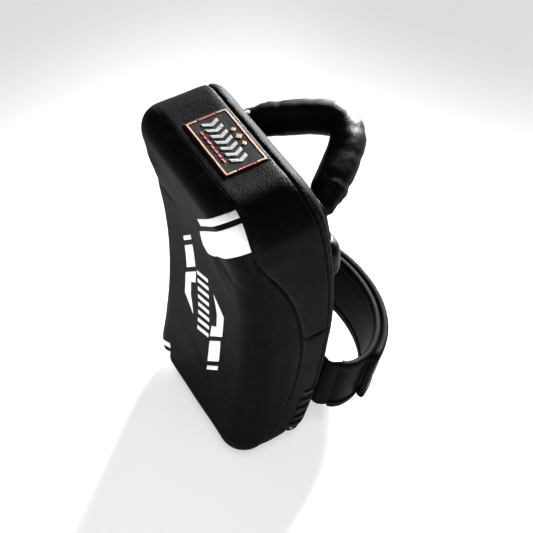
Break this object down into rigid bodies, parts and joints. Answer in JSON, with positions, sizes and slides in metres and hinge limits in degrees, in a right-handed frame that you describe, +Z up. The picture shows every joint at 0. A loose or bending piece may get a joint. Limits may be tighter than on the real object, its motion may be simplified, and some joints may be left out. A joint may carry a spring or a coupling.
{
  "type": "thai pad",
  "caption": "Black leather curved thai pad with a hollow striking face, padded hand handle, closing forearm strap, laced lower edge, white stripe prints and a plain woven label.",
  "frame": {"origin": "middle of the width on the flat lower end face that the pad stands on", "axes": "+Z up along the length towards the hand end, -Y out of the striking face, +Y out of the arm side, X across the width"},
  "size_m": [0.2264, 0.2329, 0.3913],
  "materials": {
    "black_leather": "satin",
    "gusset_leather": "satin",
    "binding_tape": "matte",
    "foam": "matte",
    "white_print": "matte",
    "label_cloth": "matte",
    "copper_thread": "matte",
    "silver_thread": "matte",
    "hook_and_loop": "matte",
    "lace_cord": "matte"
  },
  "bodies": {
    "pad": {"front_panel": "black_leather", "gusset_upper": "gusset_leather", "gusset_lower": "gusset_leather", "back_panel": "black_leather", "strike_foam": "foam", "core_foam": "foam", "backing_foam": "foam", "hand_cushion": "black_leather", "label_patch": "label_cloth", "label_border": "copper_thread", "label_motif": "silver_thread", "stripe_far": "white_print", "stripe_near": "white_print", "centre_bars": "white_print", "corner_print_top": "white_print", "corner_print_bottom": "white_print", "handle_root_left": "gusset_leather", "handle_root_right": "gusset_leather", "strap_root_left": "gusset_leather", "strap_root_right": "gusset_leather", "strap_outer": "black_leather", "outer_binding_upper": "binding_tape", "outer_binding_lower": "binding_tape", "lace_tongue": "lace_cord", "lace": "lace_cord"},
    "handle": {"handle_cover": "black_leather", "handle_core": "foam"},
    "strap_flap": {"strap_flap": "black_leather", "flap_binding_upper": "binding_tape", "flap_binding_lower": "binding_tape", "hook_patch": "hook_and_loop"},
    "strap_band": {"strap_band": "black_leather", "band_binding_upper": "binding_tape", "band_binding_lower": "binding_tape", "loop_patch": "hook_and_loop"}
  },
  "joints": [
    {"name": "handle_tilt", "type": "hinge", "parent": "pad", "child": "handle", "pos_m": [0, 0.05937, 0.33718], "axis": [1, 0, 0], "range_deg": [-20, 20], "stiffness_Nm_per_rad": 1.5},
    {"name": "flap_open", "type": "hinge", "parent": "pad", "child": "strap_flap", "pos_m": [0.00934, 0.16845, 0.06167], "axis": [0, 0.1742, 0.9847], "range_deg": [0, 60]},
    {"name": "band_tighten", "type": "hinge", "parent": "pad", "child": "strap_band", "pos_m": [0.088, 0.06012, 0.08083], "axis": [0, 0.1742, 0.9847], "range_deg": [0, 6]}
  ]
}
